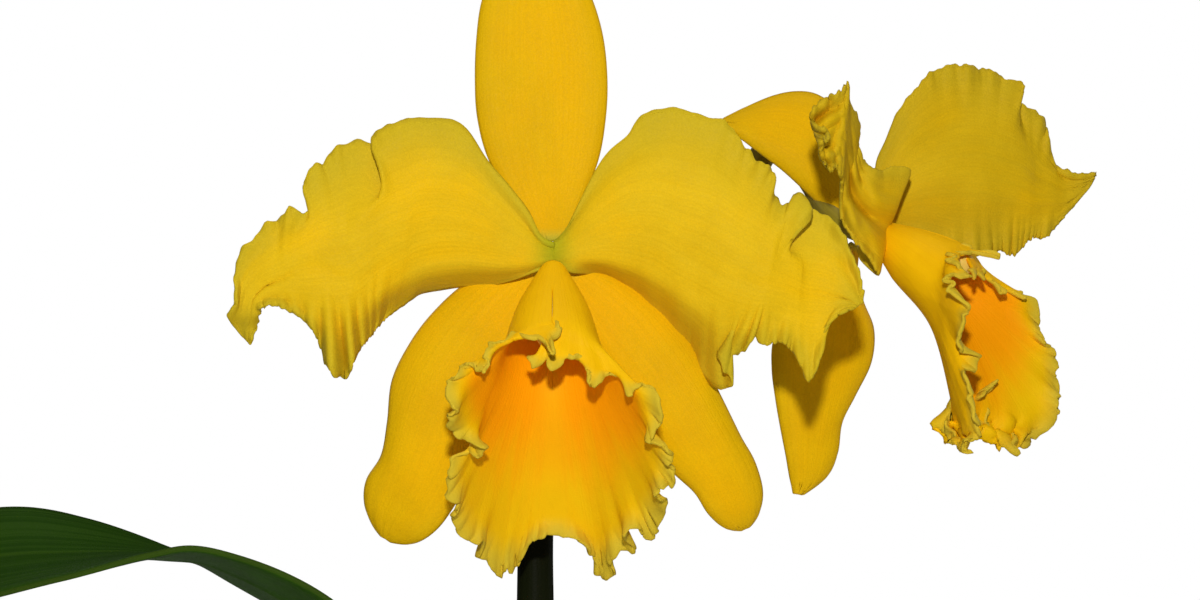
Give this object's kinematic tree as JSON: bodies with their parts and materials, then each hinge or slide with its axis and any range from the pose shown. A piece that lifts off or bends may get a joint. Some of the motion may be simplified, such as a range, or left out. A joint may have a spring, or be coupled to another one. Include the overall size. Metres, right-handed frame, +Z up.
{
  "type": "potted orchid",
  "caption": "Potted orchid with large ruffled yellow flowers on one stem, strap leaves on slender bulbs, and bark in a plain clay pot.",
  "frame": {"origin": "centre of the pot's underside, on the surface it stands on", "axes": "+Z up, +X to the right and -Y towards a viewer who faces the front flower"},
  "size_m": [0.3262, 0.2365, 0.5302],
  "materials": {
    "fired_clay": "matte",
    "bark": "matte",
    "root_skin": "matte",
    "bulb_skin": "satin",
    "dry_sheath": "matte",
    "leaf_skin": "satin",
    "stem_skin": "satin",
    "petal_yellow": "matte",
    "lip_orange": "matte",
    "column_cream": "satin"
  },
  "bodies": {
    "root": {"pot": "fired_clay", "bark_medium": "bark", "rhizome": "bulb_skin", "new_shoot": "leaf_skin", "root_1": "root_skin", "root_2": "root_skin", "root_3": "root_skin", "root_4": "root_skin", "root_5": "root_skin", "rim_root": "root_skin", "back_bulb_1": "bulb_skin", "back_bulb_1_sheath": "dry_sheath", "back_bulb_1_leaf": "leaf_skin", "back_bulb_2": "bulb_skin", "back_bulb_2_sheath": "dry_sheath", "back_bulb_2_leaf": "leaf_skin", "back_bulb_3": "bulb_skin", "back_bulb_3_sheath": "dry_sheath", "back_bulb_3_leaf": "leaf_skin", "flowering_bulb": "bulb_skin", "flowering_bulb_sheath": "dry_sheath", "flowering_leaf": "leaf_skin", "flower_sheath": "dry_sheath", "peduncle": "stem_skin", "front_pedicel": "stem_skin", "side_pedicel": "stem_skin", "front_bract": "dry_sheath", "side_bract": "dry_sheath", "front_dorsal_sepal": "petal_yellow", "front_left_petal": "petal_yellow", "front_right_petal": "petal_yellow", "front_left_lateral_sepal": "petal_yellow", "front_right_lateral_sepal": "petal_yellow", "front_lip": "lip_orange", "front_column": "column_cream", "front_anther_cap": "column_cream", "side_dorsal_sepal": "petal_yellow", "side_left_petal": "petal_yellow", "side_right_petal": "petal_yellow", "side_left_lateral_sepal": "petal_yellow", "side_right_lateral_sepal": "petal_yellow", "side_lip": "lip_orange", "side_column": "column_cream", "side_anther_cap": "column_cream"}
  },
  "joints": []
}
